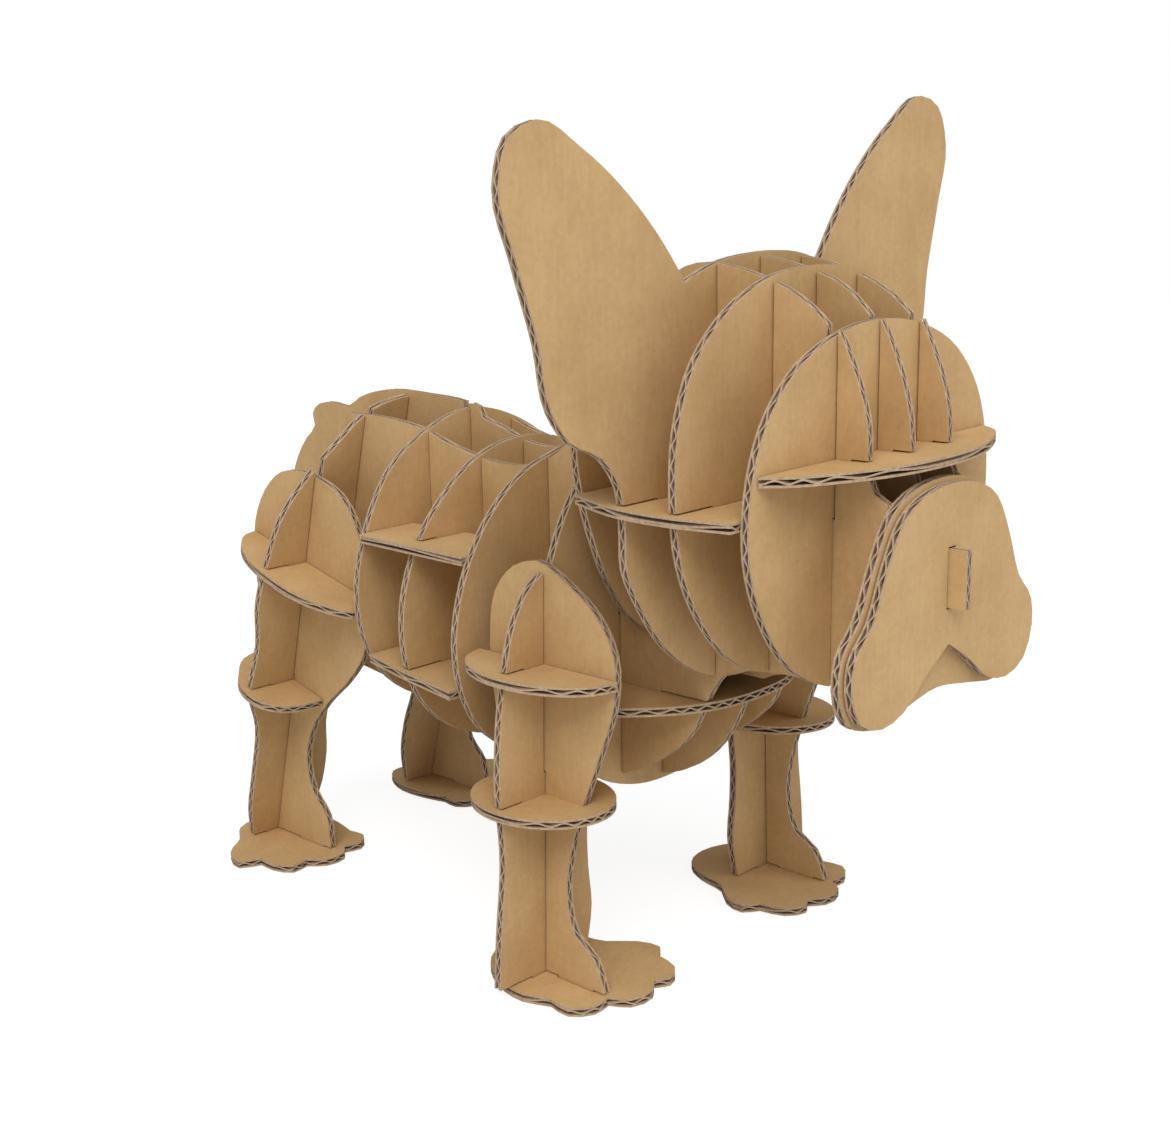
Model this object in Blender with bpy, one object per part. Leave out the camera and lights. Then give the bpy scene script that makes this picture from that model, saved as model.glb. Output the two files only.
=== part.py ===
"""A standing dog slotted together from flat pieces of corrugated board.

The dog faces -Y, its left side is +X and its paws stand on z = 0. Values are in
millimetres until a board is built. Upright boards run across the body (ribs and leg
frames) or along it (profiles and leg sides), and shelves lie between them. Where two
boards cross, each is slotted halfway and they slide into each other.
"""
import math

import bmesh
import bpy
from mathutils import Matrix, Vector

for old in list(bpy.data.objects):
    bpy.data.objects.remove(old)

# Board and fit
BOARD = 1.8
FIT = 0.3
CURVE_STEP = 3.4
OPEN_END = 300.0
SLOT_REACH = 4 * BOARD

# Places of the cross boards along the body, at their front faces
SNOUT_FRONT_Y = -97.1
SNOUT_BACK_Y = SNOUT_FRONT_Y + BOARD + FIT
FACE_Y = -82.0
CROWN_Y = -68.7
EARS_Y = -56.4
NAPE_Y = -41.1
FORELEG_Y = -32.3
RIB_FRONT_Y = -13.5
RIB_MIDDLE_Y = 5.9
RIB_REAR_Y = 22.2
HINDLEG_Y = 69.6
HINDLEG_LEAN = math.radians(14.5)
EAR_PLATE_ROLL = math.radians(2.5)
EAR_PLATE_PIVOT = (0.0, 95.0)

# Places of the boards along the body, from its middle
PROFILE_X = 12.6
FORELEG_SIDE_X = 35.9
FORELEG_SIDE_LEAN = math.radians(1.75)
HINDLEG_SIDE_X = 25.3

# Heights of the shelves' top faces
BROW_Z = 105.3
CHEEK_Z = 98.0
FLANK_UPPER_Z = 82.4
FLANK_LOWER_Z = 56.0
CHEST_Z = 56.0
SHOULDER_Z = 64.5
ELBOW_Z = 38.5
HAUNCH_Z = 71.2
HOCK_Z = 42.0

# Where half-laps meet
HEAD_LAP_Z = 95.0
BODY_LAP_Z = 70.0
LEG_LAP_Z = 43.0
BROW_LAP_Y = -85.5
CHEST_LAP_Y = -43.0
CHEST_SLOT_SLACK = 2.3
CHEEK_LAP_X = 30.0
FLANK_LAP_X = 27.0
SHOULDER_LAP_X = 40.5
ELBOW_OUTER_LAP_X = 42.0
ELBOW_INNER_LAP_X = 29.0
ELBOW_INNER_END_X = 20.4
HAUNCH_LAP_X = 31.5
HOCK_LAP_X = 33.0
SHELF_INNER_X = 19.0

# Tabs
NOSE_TAB_LOW_Z = 79.0
NOSE_TAB_HIGH_Z = 89.5
NOSE_TAB_REACH = 3.4
SIDE_TAB_LOW_Z = 76.0
SIDE_TAB_HIGH_Z = 86.0
FOOT_TAB = 9.0
FOOT_TAB_END_Z = 0.3
PROFILE_OVERHANG = 5.0
REAR_Y = 88.4

SNOUT_TIP_Y = SNOUT_FRONT_Y - NOSE_TAB_REACH
CENTRE_Y = (SNOUT_TIP_Y + REAR_Y) / 2
SIDES = (("right", -1), ("left", 1))


class Board:
    """A flat piece: an outline in its own plane, made BOARD thick about that plane."""

    def __init__(self, name, origin, across, along, outline):
        self.name = name
        self.origin = Vector(origin)
        self.across = Vector(across).normalized()
        self.along = Vector(along).normalized()
        self.normal = self.across.cross(self.along)
        self.outline = outline
        self.cutters = []

    def slot(self, other, axis, low, high, slack_up=0.0):
        """Cut room for the other board between two places on their crossing line."""
        line, start = crossing(self, other, axis)
        middle = start + line * (((low + high) / 2 - start[axis]) / line[axis])
        half_length = abs((high - low) / 2 / line[axis])
        side = other.normal
        if side.z < 0:
            side = -side
        half_width = BOARD / 2 + FIT + slack_up / 2
        middle = middle + side * slack_up / 2
        through = line.cross(side)
        self.cutters.append((middle, (line, half_length), (side, half_width), (through, SLOT_REACH)))


def crossing(board, other, axis):
    """Direction of the line where two boards' middle planes meet, and a point on it."""
    line = board.normal.cross(other.normal).normalized()
    if line[axis] < 0:
        line = -line
    planes = Matrix((board.normal, other.normal, line))
    offsets = Vector((board.normal.dot(board.origin), other.normal.dot(other.origin), 0))
    return line, planes.inverted() @ offsets


def cross_board(name, front_y, outline):
    return Board(name, (0, front_y + BOARD / 2, 0), (1, 0, 0), (0, 0, 1), outline)


def long_board(name, x, outline, lean=0.0):
    up = (-math.sin(lean), 0, math.cos(lean))
    return Board(name, (x, 0, 0), (0, 1, 0), up, outline)


def shelf(name, top_z, outline):
    return Board(name, (0, 0, top_z - BOARD / 2), (1, 0, 0), (0, 1, 0), outline)


def leaned_shelf(name, top_z, outline):
    """A shelf square to the leaning hindleg frame; its outline is given in x and y."""
    middle_y = hindleg_y(top_z) + BOARD / 2
    back = (0, math.cos(HINDLEG_LEAN), math.sin(HINDLEG_LEAN))
    flat = [(x, (y - middle_y) / math.cos(HINDLEG_LEAN), *rest) for x, y, *rest in outline]
    return Board(name, (0, middle_y, top_z - BOARD / 2), (1, 0, 0), back, flat)


def hindleg_y(z):
    return HINDLEG_Y - z * math.tan(HINDLEG_LEAN)


def sided(side, points):
    return [(side * point[0], *point[1:]) for point in points]


def turned(points, angle, pivot):
    turn = Matrix.Rotation(angle, 2)
    centre = Vector(pivot)
    return [tuple(centre + turn @ (Vector(point) - centre)) for point in points]


def corner(x, y):
    """A point where the outline turns sharply instead of flowing through."""
    return (x, y, "corner")


def smooth(points):
    """Run a closed curve through the points, sharp only at those marked as corners."""
    spots = [Vector(point[:2]) for point in points]
    sharp = [len(point) > 2 for point in points]
    count = len(spots)
    curve = []
    for index in range(count):
        after = (index + 1) % count
        start, end = spots[index], spots[after]
        length = (end - start).length
        leave = flow(spots, index, sharp[index], end - start)
        arrive = flow(spots, after, sharp[after], end - start)
        straight = sharp[index] and sharp[after]
        steps = 1 if straight else max(1, math.ceil(length / CURVE_STEP))
        for step in range(steps):
            curve.append(hermite(start, end, leave * length, arrive * length, step / steps))
    return curve


def flow(spots, index, is_corner, chord):
    """Direction of the curve at one point, or along the chord at a corner."""
    if is_corner:
        return chord.normalized()
    before = spots[index] - spots[index - 1]
    after = spots[(index + 1) % len(spots)] - spots[index]
    total = before.length + after.length
    return (before.normalized() * after.length + after.normalized() * before.length) / total


def hermite(start, end, leave, arrive, t):
    return (start * (2 * t ** 3 - 3 * t ** 2 + 1) + leave * (t ** 3 - 2 * t ** 2 + t)
            + end * (3 * t ** 2 - 2 * t ** 3) + arrive * (t ** 3 - t ** 2))


def extruded(board):
    mesh = bpy.data.meshes.new(board.name)
    work = bmesh.new()
    back = -board.normal * BOARD / 2
    verts = []
    for u, v in smooth(board.outline):
        spot = board.across * u + board.along * v + back
        verts.append(work.verts.new(spot * 0.001))
    face = work.faces.new(verts)
    front = bmesh.ops.extrude_face_region(work, geom=[face])["geom"]
    moved = [item for item in front if isinstance(item, bmesh.types.BMVert)]
    bmesh.ops.translate(work, vec=board.normal * BOARD * 0.001, verts=moved)
    bmesh.ops.recalc_face_normals(work, faces=work.faces)
    work.to_mesh(mesh)
    work.free()
    return mesh


def slot_cutter(board):
    mesh = bpy.data.meshes.new(board.name + "_slots")
    work = bmesh.new()
    for middle, *sides in board.cutters:
        made = bmesh.ops.create_cube(work, size=2.0)["verts"]
        axes = [direction * half for direction, half in sides]
        for vert in made:
            spot = middle + sum((axis * part for axis, part in zip(axes, vert.co)), Vector())
            vert.co = (spot - board.origin) * 0.001
    work.to_mesh(mesh)
    work.free()
    return mesh


def kraft(name):
    material = bpy.data.materials.new(name + "_board")
    material.use_nodes = True
    shader = material.node_tree.nodes["Principled BSDF"]
    shader.inputs["Base Color"].default_value = (0.55, 0.38, 0.19, 1)
    shader.inputs["Roughness"].default_value = 0.9
    shader.inputs["Metallic"].default_value = 0.0
    return material


def place(name, mesh, origin):
    made = bpy.data.objects.new(name, mesh)
    made.location = (origin - Vector((ears_centre_x(), CENTRE_Y, 0))) * 0.001
    bpy.context.scene.collection.objects.link(made)
    return made


def build(board):
    """Extrude the outline, cut the slots and give the piece its own board material."""
    piece = place(board.name, extruded(board), board.origin)
    if board.cutters:
        cutter = place(board.name + "_slots", slot_cutter(board), board.origin)
        cut = piece.modifiers.new("slots", "BOOLEAN")
        cut.operation = "DIFFERENCE"
        cut.solver = "EXACT"
        cut.object = cutter
        graph = bpy.context.evaluated_depsgraph_get()
        slotted = bpy.data.meshes.new_from_object(piece.evaluated_get(graph))
        piece.modifiers.clear()
        piece.data = slotted
        bpy.data.objects.remove(cutter)
    triangulate(piece.data)
    piece.data.materials.clear()
    piece.data.materials.append(kraft(board.name))


def triangulate(mesh):
    work = bmesh.new()
    work.from_mesh(mesh)
    bmesh.ops.triangulate(work, faces=work.faces)
    work.to_mesh(mesh)
    work.free()


def lap(lower, upper, meet, axis=2):
    """Half-lap: the first board keeps what lies below the meeting place, the second above."""
    lower.slot(upper, axis, meet - FIT / 2, meet + OPEN_END)
    upper.slot(lower, axis, meet - OPEN_END, meet + FIT / 2)


# Outlines of the boards along the body, in y and z

def profile_front(tab_low, tab_high, tab_tip):
    """The edge against the snout boards, with the tab that goes through them."""
    edge = SNOUT_BACK_Y + BOARD + FIT
    return [
        corner(edge, 98.3), corner(edge, tab_high), *tab_tip,
        corner(edge, tab_low), corner(edge, 69.5),
    ]


def side_profile():
    tip = SNOUT_BACK_Y
    tab = [corner(tip, SIDE_TAB_HIGH_Z), corner(tip, SIDE_TAB_LOW_Z)]
    rear_top_z = 103.6
    rear_low_z = 46.0
    return [
        corner(hindleg_y(rear_top_z) + BOARD + PROFILE_OVERHANG, rear_top_z),
        (36, 103.4), (26, 102.3), (13, 98.7), (4, 97), (-12, 98.2), (-22, 104.4), (-33, 113.5),
        (-42, 124), (-46.8, 136.2), (-52, 138), (-59, 137.6), (-67, 135.5), (-74, 132.6),
        (-80, 127.9), (-85, 120), (-88.2, 111.5), (-88.8, 103.5), (-90, 100),
        *profile_front(SIDE_TAB_LOW_Z, SIDE_TAB_HIGH_Z, tab),
        (-84, 66), (-67, 64.6), (-58.6, 62.6), (-53.6, 55.5), (-51, 50), (-44, 43), (-32, 36.5),
        (-12, 35), (12, 38), (36, 42.5),
        corner(hindleg_y(rear_low_z) + BOARD + PROFILE_OVERHANG, rear_low_z),
    ]


def middle_profile():
    round_tip = SNOUT_TIP_Y + 1.6
    nose = [
        corner(round_tip, NOSE_TAB_HIGH_Z), (SNOUT_TIP_Y + 0.4, NOSE_TAB_HIGH_Z - 1.8),
        (SNOUT_TIP_Y, (NOSE_TAB_HIGH_Z + NOSE_TAB_LOW_Z) / 2),
        (SNOUT_TIP_Y + 0.4, NOSE_TAB_LOW_Z + 1.8), corner(round_tip, NOSE_TAB_LOW_Z),
    ]
    tail = [
        (65, 102.5), (70, 103), (75.5, 102.5), (78.5, 100), (77.9, 97),
        (81.4, 93.7), (85.5, 88.6), (REAR_Y, 81),
    ]
    return [
        (52, 107.2), (36, 107.4), (24, 106.5), (19.8, 105.6), corner(18.2, 103.3), (12, 101.5),
        (5, 99.3), (-6, 98.8), (-13, 99.4), (-22, 105), (-33, 113.8), (-42, 124.4), (-46.8, 136.8),
        (-52, 138.8), (-59, 138.2), (-67, 136.4), (-74, 133.8), (-80.4, 128.1), (-85.4, 120),
        (-88.6, 110), (-89.2, 103.5), (-90.4, 100),
        *profile_front(NOSE_TAB_LOW_Z, NOSE_TAB_HIGH_Z, nose),
        (-84, 64), (-68, 61.4), (-58, 58.6), (-54, 54.5), (-51.6, 49.1), (-46, 41),
        (-38, 35.2), (-30, 32.8), (-12, 33), (8, 35.4), (30, 40), (52, 43), (66, 49), (79, 60),
        (86.6, 71), *reversed(tail), (60, 105.1),
    ]


def foreleg_side():
    foot = PAW_TOP_Z + FIT
    return [
        (-29.8, 84), (-38.6, 80.4), (-45.4, 75.6), (-49.6, 68.8), (-49.8, 60), (-46.2, 49),
        (-42.6, 39.5), (-39, 28), (-38, 19), (-40.2, 11.6), (-45.2, 8.2), corner(-47.8, foot),
        *foot_tab(-45.0, -45.0 + FOOT_TAB), corner(-22.5, foot),
        (-23.4, 18), (-22.2, 34), (-19.6, 50), (-17.5, 66), (-19.2, 77), (-24, 82.2),
    ]


def hindleg_side():
    foot = PAW_TOP_Z + FIT
    return [
        (51.5, 91.6), (58.7, 90.9), (65.4, 86), (70, 78), (70.9, 68), (70.2, 55), (71, 40),
        (73, 25), (75, 12), corner(75.5, foot), *foot_tab(60.0, 60.0 - FOOT_TAB),
        corner(48.6, foot), (49.6, 9.8), (54.2, 15), (55.8, 21.5), (53.4, 30), (47, 37.8),
        (38.6, 45), (32.4, 52.5), (30.8, 66), (32, 79), (37.6, 87.2), (44.4, 90.4),
    ]


def foot_tab(start, end):
    """A tab that stands in the paw's slot."""
    foot = PAW_TOP_Z + FIT
    return [corner(start, foot), corner(start, FOOT_TAB_END_Z),
            corner(end, FOOT_TAB_END_Z), corner(end, foot)]


# Outlines of the boards across the body, in x and z, each as its left half

PAW_TOP_Z = BOARD

NAPE = [(0, 134), (12, 132.5), (22, 127.5), (30, 119), (34, 107), (32.5, 96.8), (29.6, 88),
        (25, 78.5), (21, 73), (14, 68), (0, 66)]
CROWN = [(0, 137), (14, 135.6), (25, 131), (34, 123), (38.7, 112), (39.5, 101), (38, 89),
         (32.5, 78), (24, 69.3), (15, 65.3), (0, 64)]
FACE = [(0, 128), (14, 126), (25, 121), (32.6, 113), (36.6, 102), (36.8, 91), (33.2, 81),
        (25, 70.6), (15, 65.2), (0, 63)]
EARS = [(0, 139.3), (12, 138.4), corner(20.2, 136), (25.5, 143), (34, 151.8), (45, 160),
        (54.8, 164.8), (61, 162.5), (64, 155), (61, 143), (57.2, 130), (55, 118.5), (51, 113),
        (43.5, 109), (39.2, 103), (38.4, 96), (38.4, 88), (35.1, 80.8), (28.3, 71), (18, 63.6),
        (0, 60.5)]
SNOUT = [(0, 100.8), (14.7, 96.5), (19.5, 89), (23.5, 80.5), (28.5, 75), (29.2, 70),
         (26.5, 64), (20.3, 61.8), (13.8, 63.2), (7.3, 68), corner(0, 72.4)]
SNOUT_BEHIND = [(0, 101.6), (15.2, 97.2), (20.2, 89.3), (24.2, 81), (29.2, 75.3), (29.9, 70),
                (27, 63.6), (20.3, 61.2), (11, 62.4), (0, 64)]
FRONT_RIB = [(0, 102), (11.4, 99.9), (21.5, 96.2), (30.2, 88.9), (37.1, 77.7), (39.9, 65),
             (38.7, 56), (34, 47.2), (27, 41.4), (14, 35.4), (0, 33)]
MIDDLE_RIB = [(0, 100.4), (13.5, 97.8), (24, 90.6), (33, 79.4), (36.7, 65), (33.6, 50.8),
              (24.7, 41.3), (12, 36.4), (0, 35)]
REAR_RIB = [(0, 105.2), (14, 101.5), (24, 95), (31, 84), (34.9, 68), (33, 58), (27, 49),
            (21.6, 44.9), (0, 39.5)]


def ear_outline():
    """Both ears and the board between them, turned a little as the dog stands."""
    return [(*turned([point[:2]], EAR_PLATE_ROLL, EAR_PLATE_PIVOT)[0], *point[2:])
            for point in full_width(EARS)]


def ears_centre_x():
    """Middle of the ears' reach, which the whole dog is centred on."""
    reach = [spot.x for spot in smooth(ear_outline())]
    return (min(reach) + max(reach)) / 2


def foreleg_frame():
    foot = PAW_TOP_Z + FIT
    middle = FORELEG_SIDE_X
    return [
        (0, 106), (14, 103.5), (24.4, 96.6), (28.4, 91), corner(32.2, 83), (37.4, 80.2),
        (42.2, 73.6), (44.7, 65.4), (46.6, 54.7), (47.4, 44), (46.6, 27), (48.2, 12.4),
        corner(49, foot), *foot_tab(middle + FOOT_TAB / 2, middle - FOOT_TAB / 2),
        corner(24.7, foot), (23, 11.5), (23.8, 20), (23.6, 31), (21.8, 38), (16.8, 35.6),
        (8, 32.9), (0, 32.2),
    ]


def hindleg_frame():
    """Heights are read on the leaning board, then stretched along it."""
    foot = PAW_TOP_Z + FIT
    middle = HINDLEG_SIDE_X
    tab = foot_tab(middle + FOOT_TAB / 2, middle - FOOT_TAB / 2)
    outline = [
        (0, 106.5), (13.5, 103.6), (20.5, 97.8), (28.6, 90.2), (34.4, 82), (37, 72),
        (38.4, 63), (37.2, 52), (38.3, 41), (35, 31), (34.6, 18), (34.6, 9), corner(33.2, foot),
        *tab, corner(16.2, foot), (13.6, 11), (13.3, 19), (14.6, 30), (12, 38.4), (0, 41),
    ]
    return [(x, lean_height(z), *rest) for x, z, *rest in outline]


def lean_height(z):
    """Length along the leaning frame whose lower front edge is at the height z."""
    return z / math.cos(HINDLEG_LEAN) + math.tan(HINDLEG_LEAN) * BOARD / 2


def full_width(half):
    """Mirror a half outline that may hold corner points."""
    back = [(-point[0], *point[1:]) for point in reversed(half) if abs(point[0]) > 0.01]
    return half + back


# Outlines of the shelves, in x and y, for the left side

def brow_outline():
    rear = FACE_Y - FIT
    half = [corner(35.2, rear), (31.5, -86.6), (24, -90.6), (12, -94.6), (0, -95.6)]
    return full_width(list(reversed(half)))


def chest_outline():
    rear = FORELEG_Y - FIT
    return full_width([(0, -56.5), (12.6, -54.6), (20.5, -50), (28, -42), corner(32, rear)])


def cheek_outline():
    front, rear = FACE_Y + BOARD + FIT, NAPE_Y - FIT
    return [corner(SHELF_INNER_X, front), corner(39.4, front), (41.3, CROWN_Y), (40.6, EARS_Y),
            corner(35.2, rear), corner(SHELF_INNER_X, rear)]


def flank_outline(widths):
    """Outer edge through the widths at the front, middle and rear rib."""
    front, rear = RIB_FRONT_Y + BOARD + FIT, RIB_REAR_Y - FIT
    return [corner(SHELF_INNER_X, front), corner(widths[0], front),
            (widths[1], RIB_MIDDLE_Y + BOARD / 2), corner(widths[2], rear),
            corner(SHELF_INNER_X, rear)]


def half_moon(flat_x, depth, middle_y, half_length, turns=8):
    """Half an ellipse whose straight edge lies along the side board's face."""
    points = [corner(flat_x, middle_y - half_length)]
    for step in range(1, turns):
        angle = math.pi * step / turns
        points.append((flat_x + depth * math.sin(angle), middle_y - half_length * math.cos(angle)))
    return points + [corner(flat_x, middle_y + half_length)]


def foreleg_face_x(z, side_out):
    """The foreleg side board's outer (+1) or inner (-1) face at a height, with the fit."""
    return FORELEG_SIDE_X - z * math.tan(FORELEG_SIDE_LEAN) + side_out * (BOARD / 2 + FIT + 0.03)


def haunch_outline():
    face = HINDLEG_SIDE_X + BOARD / 2 + FIT
    return [corner(face, 70.2), (29.7, 69.4), (34.6, 64.4), (37.8, 57), (39, 48.5), (39.2, 41),
            (37.2, 33), (33.2, 26.8), corner(face, 25.6)]


def hock_outline():
    face = HINDLEG_SIDE_X + BOARD / 2 + FIT
    return [corner(face, 73.8), (30.6, 72.4), (35.6, 67.6), (39.8, 60.6), (39.6, 53.4),
            (36.1, 49.6), (31.5, 48.2), corner(face, 48)]


# A left paw about its leg: x to its outer side, y to the rear
PAW = [
    (0.5, 15.5), (9.3, 12.6), (14.4, 5.4), (15.9, -3), corner(13.7, -8.4), (14.3, -13.4),
    (10.4, -16.6), corner(6, -16.2), (3.6, -19.8), (-2, -20.4), corner(-5.2, -17.9),
    (-8.2, -19.6), (-12.4, -17.2), corner(-13.9, -11.8), (-17.1, -9.4), (-15.9, -4.4),
    (-11.6, 0.4), (-9.6, 7.6), (-6, 13.4),
]
HIND_PAW = [
    (-1, 15.8), (-8.2, 16.2), (-13, 9), (-13.4, -2), corner(-11.9, -8.2), (-12.4, -12.6),
    (-9, -15.8), corner(-4.8, -14.6), (-2.4, -17.6), (3, -17.6), corner(6.2, -14.4), (10.6, -15),
    (13, -10.4), corner(12.9, -5.8), (17.6, -3.4), (15.8, 2.4), (9, 8), (5, 13.6),
]
FORE_PAW_Y = -32.6
HIND_PAW_Y = 62.4


def paw(name, side, leg_x, middle_y, outline):
    points = [(side * (leg_x + x), middle_y + y, *rest) for x, y, *rest in outline]
    return shelf(name, PAW_TOP_Z, points)


def foot_slots(board_paw, leg_frame, leg_side, frame_x, side_ys):
    """Slots in a paw for the tabs of the leg's two crossing boards."""
    low, high = sorted(frame_x)
    board_paw.slot(leg_frame, 0, low - FIT, high + FIT)
    low, high = sorted(side_ys)
    board_paw.slot(leg_side, 1, low - FIT, high + FIT)


def make_profiles():
    return [long_board("profile_right", -PROFILE_X, side_profile()),
            long_board("profile_middle", 0.0, middle_profile()),
            long_board("profile_left", PROFILE_X, side_profile())]


def make_head(profiles):
    """Head ribs, snout boards, brow and cheek shelves."""
    nape = cross_board("nape_rib", NAPE_Y, full_width(NAPE))
    ear_plate = cross_board("ear_plate", EARS_Y, ear_outline())
    crown = cross_board("crown_rib", CROWN_Y, full_width(CROWN))
    face = cross_board("face_rib", FACE_Y, full_width(FACE))
    snout_back = cross_board("snout_back", SNOUT_BACK_Y, full_width(SNOUT_BEHIND))
    snout_front = cross_board("snout_front", SNOUT_FRONT_Y, full_width(SNOUT))
    brow = shelf("brow_shelf", BROW_Z, brow_outline())
    for profile in profiles:
        for rib in (nape, ear_plate, crown, face):
            lap(profile, rib, HEAD_LAP_Z)
        lap(brow, profile, BROW_LAP_Y, axis=1)
        low, high = SIDE_TAB_LOW_Z, SIDE_TAB_HIGH_Z
        if profile.origin.x == 0:
            low, high = NOSE_TAB_LOW_Z, NOSE_TAB_HIGH_Z
            snout_front.slot(profile, 2, low - FIT, high + FIT)
        snout_back.slot(profile, 2, low - FIT, high + FIT)
    cheeks = []
    for word, side in SIDES:
        cheek = shelf("cheek_shelf_" + word, CHEEK_Z, sided(side, cheek_outline()))
        for rib in (ear_plate, crown):
            side_lap(cheek, rib, side, CHEEK_LAP_X)
        cheeks.append(cheek)
    return [nape, ear_plate, crown, face, snout_back, snout_front, brow, *cheeks]


def side_lap(shelf_board, rib, side, meet):
    """A shelf slid onto a rib from outside, their slots meeting at a distance from the middle."""
    inner = sorted((0, side * (meet + FIT / 2)))
    outer = sorted((side * (meet - FIT / 2), side * (meet + OPEN_END)))
    shelf_board.slot(rib, 0, *inner)
    rib.slot(shelf_board, 0, *outer)


def make_trunk(profiles):
    """Foreleg and hindleg frames, ribs, flank shelves and chest shelf."""
    foreleg = cross_board("foreleg_frame", FORELEG_Y, full_width(foreleg_frame()))
    ribs = [cross_board("rib_front", RIB_FRONT_Y, full_width(FRONT_RIB)),
            cross_board("rib_middle", RIB_MIDDLE_Y, full_width(MIDDLE_RIB)),
            cross_board("rib_rear", RIB_REAR_Y, full_width(REAR_RIB))]
    lean_up = (0, -math.sin(HINDLEG_LEAN), math.cos(HINDLEG_LEAN))
    hindleg = Board("hindleg_frame", (0, HINDLEG_Y + BOARD / 2, 0), (1, 0, 0), lean_up,
                    full_width(hindleg_frame()))
    chest = shelf("chest_shelf", CHEST_Z, chest_outline())
    for profile in profiles:
        lap(foreleg, profile, BODY_LAP_Z)
        lap(hindleg, profile, BODY_LAP_Z)
        for rib in ribs:
            lap(profile, rib, BODY_LAP_Z)
        slack = CHEST_SLOT_SLACK if profile.origin.x >= 0 else 0.0
        chest.slot(profile, 1, CHEST_LAP_Y - FIT / 2, CHEST_LAP_Y + OPEN_END)
        profile.slot(chest, 1, CHEST_LAP_Y - OPEN_END, CHEST_LAP_Y + FIT / 2, slack)
    flanks = []
    for word, side in SIDES:
        for level, top_z, widths in (("upper", FLANK_UPPER_Z, (36, 35, 34.2)),
                                     ("lower", FLANK_LOWER_Z, (40.5, 36.8, 33))):
            flank = shelf(f"flank_shelf_{level}_{word}", top_z, sided(side, flank_outline(widths)))
            side_lap(flank, ribs[1], side, FLANK_LAP_X)
            flanks.append(flank)
    return foreleg, hindleg, [*ribs, chest, *flanks]


def make_foreleg(word, side, frame):
    leg = long_board("foreleg_side_" + word, side * FORELEG_SIDE_X, foreleg_side(),
                     side * FORELEG_SIDE_LEAN)
    lap(frame, leg, LEG_LAP_Z)
    shoulder = shelf("shoulder_shelf_" + word, SHOULDER_Z,
                     sided(side, half_moon(foreleg_face_x(SHOULDER_Z - BOARD, 1), 12.4, -33, 18)))
    side_lap(shoulder, frame, side, SHOULDER_LAP_X)
    outer_x = foreleg_face_x(ELBOW_Z - BOARD, 1)
    inner_x = foreleg_face_x(ELBOW_Z, -1)
    outer = shelf("elbow_disc_outer_" + word, ELBOW_Z, sided(side, half_moon(outer_x, 12.8, -32, 15)))
    inner = shelf("elbow_disc_inner_" + word, ELBOW_Z, sided(side, half_moon(inner_x, -10.6, -32, 15)))
    side_lap(outer, frame, side, ELBOW_OUTER_LAP_X)
    inner.slot(frame, 0, *sorted((side * (ELBOW_INNER_LAP_X - FIT / 2), side * OPEN_END)))
    frame.slot(inner, 0, *sorted((side * ELBOW_INNER_END_X, side * (ELBOW_INNER_LAP_X + FIT / 2))))
    foot = paw("paw_front_" + word, side, FORELEG_SIDE_X - 5.4, FORE_PAW_Y, PAW)
    tab_x = [side * (FORELEG_SIDE_X + half) for half in (-FOOT_TAB / 2, FOOT_TAB / 2)]
    foot_slots(foot, frame, leg, tab_x, (-45.0, -45.0 + FOOT_TAB))
    return [leg, shoulder, outer, inner, foot]


def make_hindleg(word, side, frame):
    leg = long_board("hindleg_side_" + word, side * HINDLEG_SIDE_X, hindleg_side())
    lap(frame, leg, LEG_LAP_Z)
    haunch = leaned_shelf("haunch_shelf_" + word, HAUNCH_Z, sided(side, haunch_outline()))
    hock = leaned_shelf("hock_shelf_" + word, HOCK_Z, sided(side, hock_outline()))
    side_lap(haunch, frame, side, HAUNCH_LAP_X)
    side_lap(hock, frame, side, HOCK_LAP_X)
    foot = paw("paw_rear_" + word, side, HINDLEG_SIDE_X + 2.2, HIND_PAW_Y, HIND_PAW)
    tab_x = [side * (HINDLEG_SIDE_X + half) for half in (-FOOT_TAB / 2, FOOT_TAB / 2)]
    foot_slots(foot, frame, leg, tab_x, (60.0, 60.0 - FOOT_TAB))
    return [leg, haunch, hock, foot]


def make_dog():
    profiles = make_profiles()
    head = make_head(profiles)
    foreleg, hindleg, trunk = make_trunk(profiles)
    boards = [*profiles, *head, foreleg, hindleg, *trunk]
    for word, side in SIDES:
        boards += make_foreleg(word, side, foreleg)
        boards += make_hindleg(word, side, hindleg)
    for board in boards:
        build(board)


make_dog()
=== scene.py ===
"""Looks of the slotted board dog: every board gets its liners, open flutes and kraft paper.

Each board of the frame is rebuilt as corrugated board: channels are cut along its flutes,
so that both liners and the wave between them show at every cut edge. The boards keep their
outlines, apart from the profiles' foreheads and nose tab, and the elbow discs are whole.
"""
import math

import bmesh
import bpy
from mathutils import Matrix, Vector


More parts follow.
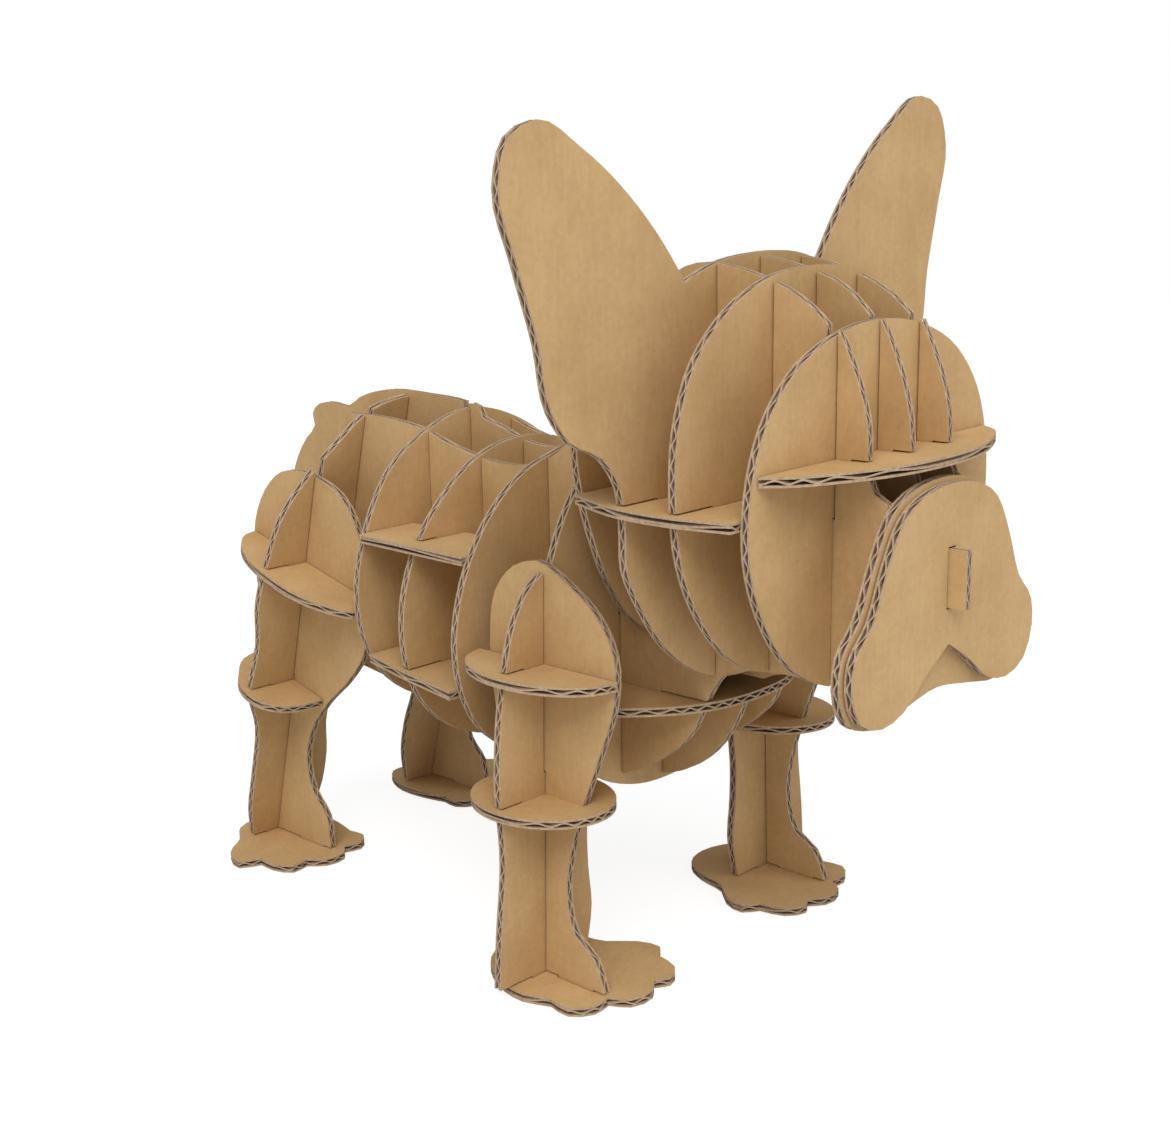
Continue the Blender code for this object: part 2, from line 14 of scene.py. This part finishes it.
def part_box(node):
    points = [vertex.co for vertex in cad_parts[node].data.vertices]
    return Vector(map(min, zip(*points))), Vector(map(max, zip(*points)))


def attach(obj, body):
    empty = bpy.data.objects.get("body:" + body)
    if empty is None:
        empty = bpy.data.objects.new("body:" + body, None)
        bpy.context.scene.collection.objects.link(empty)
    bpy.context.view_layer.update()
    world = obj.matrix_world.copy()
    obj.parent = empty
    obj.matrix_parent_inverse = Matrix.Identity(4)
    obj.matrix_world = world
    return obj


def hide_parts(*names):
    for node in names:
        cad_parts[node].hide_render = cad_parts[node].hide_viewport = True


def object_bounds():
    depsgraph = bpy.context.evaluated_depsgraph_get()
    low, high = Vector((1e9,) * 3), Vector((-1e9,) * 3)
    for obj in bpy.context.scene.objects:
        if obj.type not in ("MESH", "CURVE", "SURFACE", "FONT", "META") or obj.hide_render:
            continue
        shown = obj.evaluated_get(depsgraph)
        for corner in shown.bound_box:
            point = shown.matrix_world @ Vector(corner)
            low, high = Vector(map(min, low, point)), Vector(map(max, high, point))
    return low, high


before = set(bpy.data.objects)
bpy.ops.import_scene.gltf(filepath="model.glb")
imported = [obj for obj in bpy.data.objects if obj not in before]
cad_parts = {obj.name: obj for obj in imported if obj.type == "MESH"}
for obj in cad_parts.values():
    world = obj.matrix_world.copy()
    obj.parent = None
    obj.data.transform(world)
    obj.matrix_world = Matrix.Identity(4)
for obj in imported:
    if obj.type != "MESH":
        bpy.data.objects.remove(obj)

LOADED_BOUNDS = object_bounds()
MM = 0.001

# Corrugated board, in metres
LINER = 0.42 * MM
PAPER = 0.34 * MM
FLUTE_PITCH = 3.4 * MM
WELD_DISTANCE = 0.001 * MM

# Channels beside the wave: points on the wave, the part of a turn that they span (in half
# turns), how far they reach past the board, and the wave's unevenness as (size, period)
CHANNEL_POINTS = 9
CHANNEL_START = 0.16
CHANNEL_SPAN = 1.68
CHANNEL_MARGIN = 4 * MM
UNEVENNESS = ((0.40 * MM, 23.0 * MM), (0.22 * MM, 9.7 * MM))

# Materials of a board, in the order of their slots
FACE_SLOT, EDGE_SLOT, FLUTE_SLOT = range(3)
FACE_COSINE = 0.7

# Forms that the frame's boards lack
OVAL_POINTS = 56
FOREHEAD_LOW = 106.5 * MM
FOREHEAD_TOP = 125.0 * MM
FOREHEAD_LIFT = 2.3 * MM
NOSE_TAB_STANDS_OUT = 1 * MM

# Boards whose flutes run across the dog instead of along it
FLUTES_ACROSS = ("rib", "frame", "ear_plate", "snout", "brow")
X_AXIS = Vector((1, 0, 0))
Y_AXIS = Vector((0, 1, 0))
Z_AXIS = Vector((0, 0, 1))

# Paper colours, dark and light ends
LINER_COLOURS = ((0.515, 0.330, 0.150), (0.590, 0.392, 0.190))
PALE_FIBRE = (0.70, 0.52, 0.30)
DARK_FIBRE = (0.30, 0.17, 0.075)
EDGE_COLOURS = ((0.39, 0.275, 0.18), (0.54, 0.40, 0.265))
# Flute walls: the fluting paper's tone, darkened and greyed with painted shade for the shadowed
# gaps between the liners
FLUTE_PAPER_AND_PAINTED_SHADE_COLOURS = ((0.27, 0.185, 0.135), (0.39, 0.275, 0.20))

# Studio, in metres: the floor, its own light for the camera, and the share that keeps shadows
FLOOR_HALF = 1.6
FLOOR_DROP = 0.2 * MM
FLOOR_GLOW = 1.3
FLOOR_SHADOW = 0.35
SKY_COLOUR = (0.97, 0.98, 1.0, 1)
SKY_STRENGTH = 0.54
WHITE = (1, 1, 1, 1)
LIGHTS_AIM = Vector((0, 0, 0.08))

# Lamps: name, place, size, power and colour
LAMPS = (
    ("key", (-1.00, -0.80, 1.58), 1.2, 23.5, (1.0, 0.97, 0.93)),
    ("front_fill", (0.55, -1.30, 1.46), 1.2, 5.6, (1.0, 0.98, 0.96)),
)

# Camera, fitted to the photograph's outline. Sizes with PIXELS are in its pixels.
PHOTO_WIDTH_PIXELS = 1170
PHOTO_MIDDLE_PIXELS = (585.0, 570.5)
FOCAL_PIXELS = 1656.6
LENS_AXIS_PIXELS = (490.0, 592.0)
SENSOR = 36.0
NEAR_CLIP = 0.01
CAMERA_AZIMUTH = math.radians(-43.56)
CAMERA_ELEVATION = math.radians(13.78)
CAMERA_ROLL = math.radians(-1.90)
CAMERA_DISTANCE = 355.6 * MM
CAMERA_SIDE = -12.4 * MM
CAMERA_RISE = -12.9 * MM
CAMERA_TARGET = Vector((2.6, 6.05, 80.0)) * MM


def new_material(name, roughness, specular=None):
    """A material with its node tree and its Principled shader."""
    material = bpy.data.materials.new(name)
    material.use_nodes = True
    tree = material.node_tree
    shader = tree.nodes["Principled BSDF"]
    shader.inputs["Roughness"].default_value = roughness
    if specular is not None:
        shader.inputs["Specular IOR Level"].default_value = specular
    return material, tree, shader


def add(tree, kind, **inputs):
    """A node with values on its sockets, where an underscore stands for a space."""
    node = tree.nodes.new(kind)
    for name, value in inputs.items():
        node.inputs[name.replace("_", " ")].default_value = value
    return node


def position_mm(tree, stretch=(1, 1, 1)):
    """Place on the object in millimetres, stretched along the axes."""
    place = tree.nodes.new("ShaderNodeTexCoord")
    scaled = add(tree, "ShaderNodeMapping", Scale=[part / MM for part in stretch])
    tree.links.new(place.outputs["Object"], scaled.inputs["Vector"])
    return scaled.outputs["Vector"]


def noise(tree, scale, detail, stretch=(1, 1, 1)):
    """Noise in the board's own space, with its scale per millimetre."""
    made = add(tree, "ShaderNodeTexNoise", Scale=scale, Detail=detail, Roughness=0.55)
    tree.links.new(position_mm(tree, stretch), made.inputs["Vector"])
    return made.outputs["Fac"]


def ramp(tree, source, *stops):
    """A colour ramp over the source, from (position, grey or colour) stops."""
    made = tree.nodes.new("ShaderNodeValToRGB")
    band = made.color_ramp
    while len(band.elements) < len(stops):
        band.elements.new(0.5)
    for element, (position, value) in zip(band.elements, stops):
        element.position = position
        element.color = (*value, 1) if isinstance(value, tuple) else (value, value, value, 1)
    tree.links.new(source, made.inputs["Fac"])
    return made.outputs["Color"]


def mix(tree, amount, first, second, blend="MIX"):
    """Two colours mixed. Sockets 6 and 7 and output 2 are the Mix node's colours."""
    made = tree.nodes.new("ShaderNodeMix")
    made.data_type = "RGBA"
    made.blend_type = blend
    for index, value in ((0, amount), (6, first), (7, second)):
        socket = made.inputs[index]
        if isinstance(value, bpy.types.NodeSocket):
            tree.links.new(value, socket)
        else:
            socket.default_value = value if isinstance(value, float) else (*value, 1)
    return made.outputs[2]


def bump(tree, shader, height, strength, distance):
    made = add(tree, "ShaderNodeBump", Strength=strength, Distance=distance)
    tree.links.new(height, made.inputs["Height"])
    tree.links.new(made.outputs["Normal"], shader.inputs["Normal"])


def kraft_liner():
    """Brown paper: clouds, fine mottles, upright machine streaks and pale fibre flecks."""
    material, tree, shader = new_material("kraft_liner", 0.82, 0.25)
    brown, tan = LINER_COLOURS
    clouds = ramp(tree, noise(tree, 0.07, 3), (0.32, brown), (0.68, tan))
    mottles = ramp(tree, noise(tree, 0.8, 4), (0.35, 0.46), (0.65, 0.54))
    colour = mix(tree, 0.5, clouds, mottles, "OVERLAY")
    streaks = ramp(tree, noise(tree, 1.2, 3, (1, 1, 0.09)), (0.4, 0.47), (0.62, 0.53))
    colour = mix(tree, 0.35, colour, streaks, "OVERLAY")
    pale = ramp(tree, noise(tree, 2.6, 2, (1, 1, 0.3)), (0.68, 0.0), (0.76, 0.5))
    colour = mix(tree, pale, colour, PALE_FIBRE)
    dark = ramp(tree, noise(tree, 1.7, 2, (1.3, 0.4, 0.8)), (0.70, 0.0), (0.78, 0.45))
    colour = mix(tree, dark, colour, DARK_FIBRE)
    tree.links.new(colour, shader.inputs["Base Color"])
    bump(tree, shader, noise(tree, 2.0, 4), 0.22, 0.08 * MM)
    return material


def raw_paper(name, specular, colours, mottle, rough):
    """Uncoated paper where the board is cut or open; the colours given for the open flutes also
    hold painted shade. Mottle and rough are noise settings.
    """
    material, tree, shader = new_material(name, 0.95, specular)
    dark, light = colours
    colour = ramp(tree, noise(tree, *mottle), (0.35, dark), (0.65, light))
    tree.links.new(colour, shader.inputs["Base Color"])
    scale, detail, strength, distance = rough
    bump(tree, shader, noise(tree, scale, detail), strength, distance)
    return material


def close_between(work, rings):
    """Closed body between two rings of points."""
    lower, upper = rings
    for index in range(len(lower)):
        after = (index + 1) % len(lower)
        work.faces.new((lower[index], lower[after], upper[after], upper[index]))
    work.faces.new(reversed(lower))
    work.faces.new(upper)


def mesh_from(work, name):
    mesh = bpy.data.meshes.new(name)
    work.to_mesh(mesh)
    work.free()
    return mesh


def closed_oval(low, high):
    """A flat oval plate that fills the box between two corners."""
    work = bmesh.new()
    centre, half = (low + high) / 2, (high - low) / 2
    rings = []
    for z in (low.z, high.z):
        ring = []
        for step in range(OVAL_POINTS):
            angle = 2 * math.pi * step / OVAL_POINTS
            x = centre.x + half.x * math.cos(angle)
            y = centre.y + half.y * math.sin(angle)
            ring.append(work.verts.new((x, y, z)))
        rings.append(ring)
    close_between(work, rings)
    return mesh_from(work, "oval")


def board_plane(mesh):
    """Normal of a board's large faces, and its two faces' distances along it."""
    largest = max(mesh.polygons, key=lambda face: face.area)
    normal = largest.normal.copy()
    distances = [vert.co.dot(normal) for vert in mesh.vertices]
    return normal, min(distances), max(distances)


def uneven(side):
    """A place across the flutes, shifted a little so that the wave isn't quite regular."""
    return side + sum(size * math.sin(2 * math.pi * side / period) for size, period in UNEVENNESS)


def channel(above, middle, half, start, amplitude):
    """Section of one channel beside the wave, as (across, distance) points."""
    sign = 1 if above else -1
    roof = middle + sign * (half - LINER)
    points = []
    for step in range(CHANNEL_POINTS):
        turn = math.pi * (CHANNEL_START + CHANNEL_SPAN * step / (CHANNEL_POINTS - 1))
        wave = amplitude * math.cos(turn) + PAPER / 2
        points.append((start + FLUTE_PITCH * turn / (2 * math.pi), middle + sign * wave))
    section = [(points[0][0], roof), *points, (points[-1][0], roof)]
    return [(uneven(side), distance) for side, distance in section]


def prism(work, section, across, normal, along, ends):
    """Closed prism of a section between two places along the flutes."""
    rings = []
    for end in ends:
        ring = [across * side + normal * distance + along * end for side, distance in section]
        rings.append([work.verts.new(point) for point in ring])
    close_between(work, rings)


def channel_cutter(mesh, normal, low, high, along):
    """All channels of one board as long closed prisms."""
    across = normal.cross(along)
    sides = [vert.co.dot(across) for vert in mesh.vertices]
    reach = [vert.co.dot(along) for vert in mesh.vertices]
    ends = (min(reach) - CHANNEL_MARGIN, max(reach) + CHANNEL_MARGIN)
    middle, half = (low + high) / 2, (high - low) / 2
    amplitude = half - LINER - PAPER / 2
    work = bmesh.new()
    start = min(sides) - FLUTE_PITCH
    while start < max(sides) + FLUTE_PITCH:
        for above, shift in ((True, 0), (False, FLUTE_PITCH / 2)):
            section = channel(above, middle, half, start + shift, amplitude)
            prism(work, section, across, normal, along, ends)
        start += FLUTE_PITCH
    bmesh.ops.recalc_face_normals(work, faces=work.faces)
    cutter = mesh_from(work, "channels")
    for face in cutter.polygons:
        face.material_index = FLUTE_SLOT
    return cutter


def welded(mesh, normal):
    """The board as one closed surface, with its cut edges in their own material slot."""
    work = bmesh.new()
    work.from_mesh(mesh)
    bmesh.ops.remove_doubles(work, verts=work.verts, dist=WELD_DISTANCE)
    for face in work.faces:
        on_face = abs(face.normal.dot(normal)) > FACE_COSINE
        face.material_index = FACE_SLOT if on_face else EDGE_SLOT
        face.smooth = False
    return mesh_from(work, "board")


def fitted_profile(mesh):
    """A profile board whose forehead meets the face rib's edge and whose nose tab is square."""
    mesh = mesh.copy()
    rib_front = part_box("face_rib")[0][1]
    snout_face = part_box("snout_front")[0][1]
    nose_tip = min(vert.co.y for vert in mesh.vertices)
    for vert in mesh.vertices:
        if vert.co.y < rib_front and vert.co.z > FOREHEAD_LOW:
            share = (vert.co.z - FOREHEAD_LOW) / (FOREHEAD_TOP - FOREHEAD_LOW)
            vert.co.z += FOREHEAD_LIFT * share
        if vert.co.y < snout_face - NOSE_TAB_STANDS_OUT:
            vert.co.y = nose_tip
    return mesh


def linked(name, data):
    """A new object in the scene."""
    made = bpy.data.objects.new(name, data)
    bpy.context.scene.collection.objects.link(made)
    return made


def subtract(piece, cutter):
    """Cut the piece by the other object's volume."""
    cut = piece.modifiers.new("cut", "BOOLEAN")
    cut.operation = "DIFFERENCE"
    cut.solver = "EXACT"
    cut.object = cutter
    graph = bpy.context.evaluated_depsgraph_get()
    result = bpy.data.meshes.new_from_object(piece.evaluated_get(graph))
    piece.modifiers.clear()
    piece.data = result


def corrugate(name, mesh, flute, replaced, materials):
    """One corrugated board in place of the frame's solid ones."""
    normal, low, high = board_plane(mesh)
    along = (flute - normal * flute.dot(normal)).normalized()
    piece = linked(name, welded(mesh, normal))
    cutter = linked("channels", channel_cutter(piece.data, normal, low, high, along))
    for material in materials:
        piece.data.materials.append(material)
        cutter.data.materials.append(material)
    subtract(piece, cutter)
    bpy.data.objects.remove(cutter)
    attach(piece, "root")
    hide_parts(*replaced)


def elbow_disc(side, materials):
    """The oval round the foreleg, whose rim runs on past the side board's edges."""
    halves = [f"elbow_disc_{place}_{side}" for place in ("outer", "inner")]
    boxes = [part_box(half) for half in halves]
    low = Vector([min(box[0][axis] for box in boxes) for axis in range(3)])
    high = Vector([max(box[1][axis] for box in boxes) for axis in range(3)])
    disc = linked("oval", closed_oval(low, high))
    for name in (f"foreleg_side_{side}", "foreleg_frame"):
        through = linked("through", welded(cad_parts[name].data, Z_AXIS))
        subtract(disc, through)
        bpy.data.objects.remove(through)
    mesh = disc.data
    bpy.data.objects.remove(disc)
    corrugate(f"elbow_disc_{side}", mesh, Y_AXIS, halves, materials)


def blend_for_camera(tree, share, hidden, shown, output):
    """Into the output goes the shown shader by the share, and the hidden one for the rest."""
    blend = tree.nodes.new("ShaderNodeMixShader")
    tree.links.new(share, blend.inputs["Fac"])
    tree.links.new(hidden, blend.inputs[1])
    tree.links.new(shown, blend.inputs[2])
    tree.links.new(blend.outputs["Shader"], tree.nodes[output].inputs["Surface"])


def shadowed_white(name):
    """A floor that looks plain white, keeps a faint shadow and bounces light onto the boards."""
    material, tree, shader = new_material(name, 0.9)
    shader.inputs["Base Color"].default_value = (0.8, 0.8, 0.8, 1)
    glow = add(tree, "ShaderNodeEmission", Color=WHITE, Strength=FLOOR_GLOW)
    path = tree.nodes.new("ShaderNodeLightPath")
    share = tree.nodes.new("ShaderNodeMath")
    share.operation = "MULTIPLY"
    share.inputs[1].default_value = 1 - FLOOR_SHADOW
    tree.links.new(path.outputs["Is Camera Ray"], share.inputs[0])
    blend_for_camera(tree, share.outputs["Value"], shader.outputs["BSDF"],
                     glow.outputs["Emission"], "Material Output")
    return material


def make_floor():
    mesh = bpy.data.meshes.new("studio_floor")
    half = FLOOR_HALF
    corners = [(-half, -half, 0), (half, -half, 0), (half, half, 0), (-half, half, 0)]
    mesh.from_pydata(corners, [], [(0, 1, 2, 3)])
    mesh.materials.append(shadowed_white("studio_white"))
    floor = linked("studio_floor", mesh)
    floor.location.z = LOADED_BOUNDS[0][2] - FLOOR_DROP


def make_world():
    """Soft light from all round, which the camera sees as plain white."""
    world = bpy.data.worlds.new("studio")
    world.use_nodes = True
    tree = world.node_tree
    sky = tree.nodes["Background"]
    sky.inputs["Color"].default_value = SKY_COLOUR
    sky.inputs["Strength"].default_value = SKY_STRENGTH
    white = add(tree, "ShaderNodeBackground", Color=WHITE, Strength=1.0)
    path = tree.nodes.new("ShaderNodeLightPath")
    blend_for_camera(tree, path.outputs["Is Camera Ray"], sky.outputs["Background"],
                     white.outputs["Background"], "World Output")
    bpy.context.scene.world = world


def make_lamp(name, place, size, power, colour):
    data = bpy.data.lights.new(name, "AREA")
    data.size = size
    data.energy = power
    data.color = colour
    lamp = linked(name, data)
    lamp.location = place
    lamp.rotation_euler = (LIGHTS_AIM - lamp.location).to_track_quat("-Z", "Y").to_euler()


def make_camera():
    """The photograph's view, with its lens axis off the picture's middle."""
    back = Vector((math.sin(CAMERA_AZIMUTH) * math.cos(CAMERA_ELEVATION),
                   -math.cos(CAMERA_AZIMUTH) * math.cos(CAMERA_ELEVATION),
                   math.sin(CAMERA_ELEVATION)))
    level = Vector((math.cos(CAMERA_AZIMUTH), math.sin(CAMERA_AZIMUTH), 0))
    turn = Matrix.Rotation(CAMERA_ROLL, 3, back)
    right = turn @ level
    up = back.cross(right)
    data = bpy.data.cameras.new("camera")
    data.sensor_width = SENSOR
    data.lens = FOCAL_PIXELS * SENSOR / PHOTO_WIDTH_PIXELS
    data.shift_x = (PHOTO_MIDDLE_PIXELS[0] - LENS_AXIS_PIXELS[0]) / PHOTO_WIDTH_PIXELS
    data.shift_y = (LENS_AXIS_PIXELS[1] - PHOTO_MIDDLE_PIXELS[1]) / PHOTO_WIDTH_PIXELS
    data.clip_start = NEAR_CLIP
    camera = linked("camera", data)
    axes = Matrix((right, up, back)).transposed()
    place = CAMERA_TARGET + back * CAMERA_DISTANCE + right * CAMERA_SIDE + up * CAMERA_RISE
    camera.matrix_world = Matrix.Translation(place) @ axes.to_4x4()
    bpy.context.scene.camera = camera


def make_dog():
    materials = [
        kraft_liner(),
        raw_paper("cut_edge", 0.15, EDGE_COLOURS, (1.4, 4), (4.0, 3, 0.4, 0.1 * MM)),
        # Flute walls: paper colour darkened with painted shade, on top of the channels' own shade
        raw_paper("flute_wall_painted_shade", 0.1, FLUTE_PAPER_AND_PAINTED_SHADE_COLOURS, (1.0, 3), (3.0, 2, 0.3, 0.08 * MM)),
    ]
    for name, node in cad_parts.items():
        if name.startswith("elbow_disc"):
            continue
        flute = X_AXIS if any(word in name for word in FLUTES_ACROSS) else Y_AXIS
        mesh = fitted_profile(node.data) if name.startswith("profile") else node.data
        corrugate(name + "_board", mesh, flute, [name], materials)
    for side in ("right", "left"):
        elbow_disc(side, materials)


make_camera()
make_world()
for lamp_values in LAMPS:
    make_lamp(*lamp_values)
make_floor()
make_dog()
bpy.context.scene.view_settings.view_transform = "Standard"
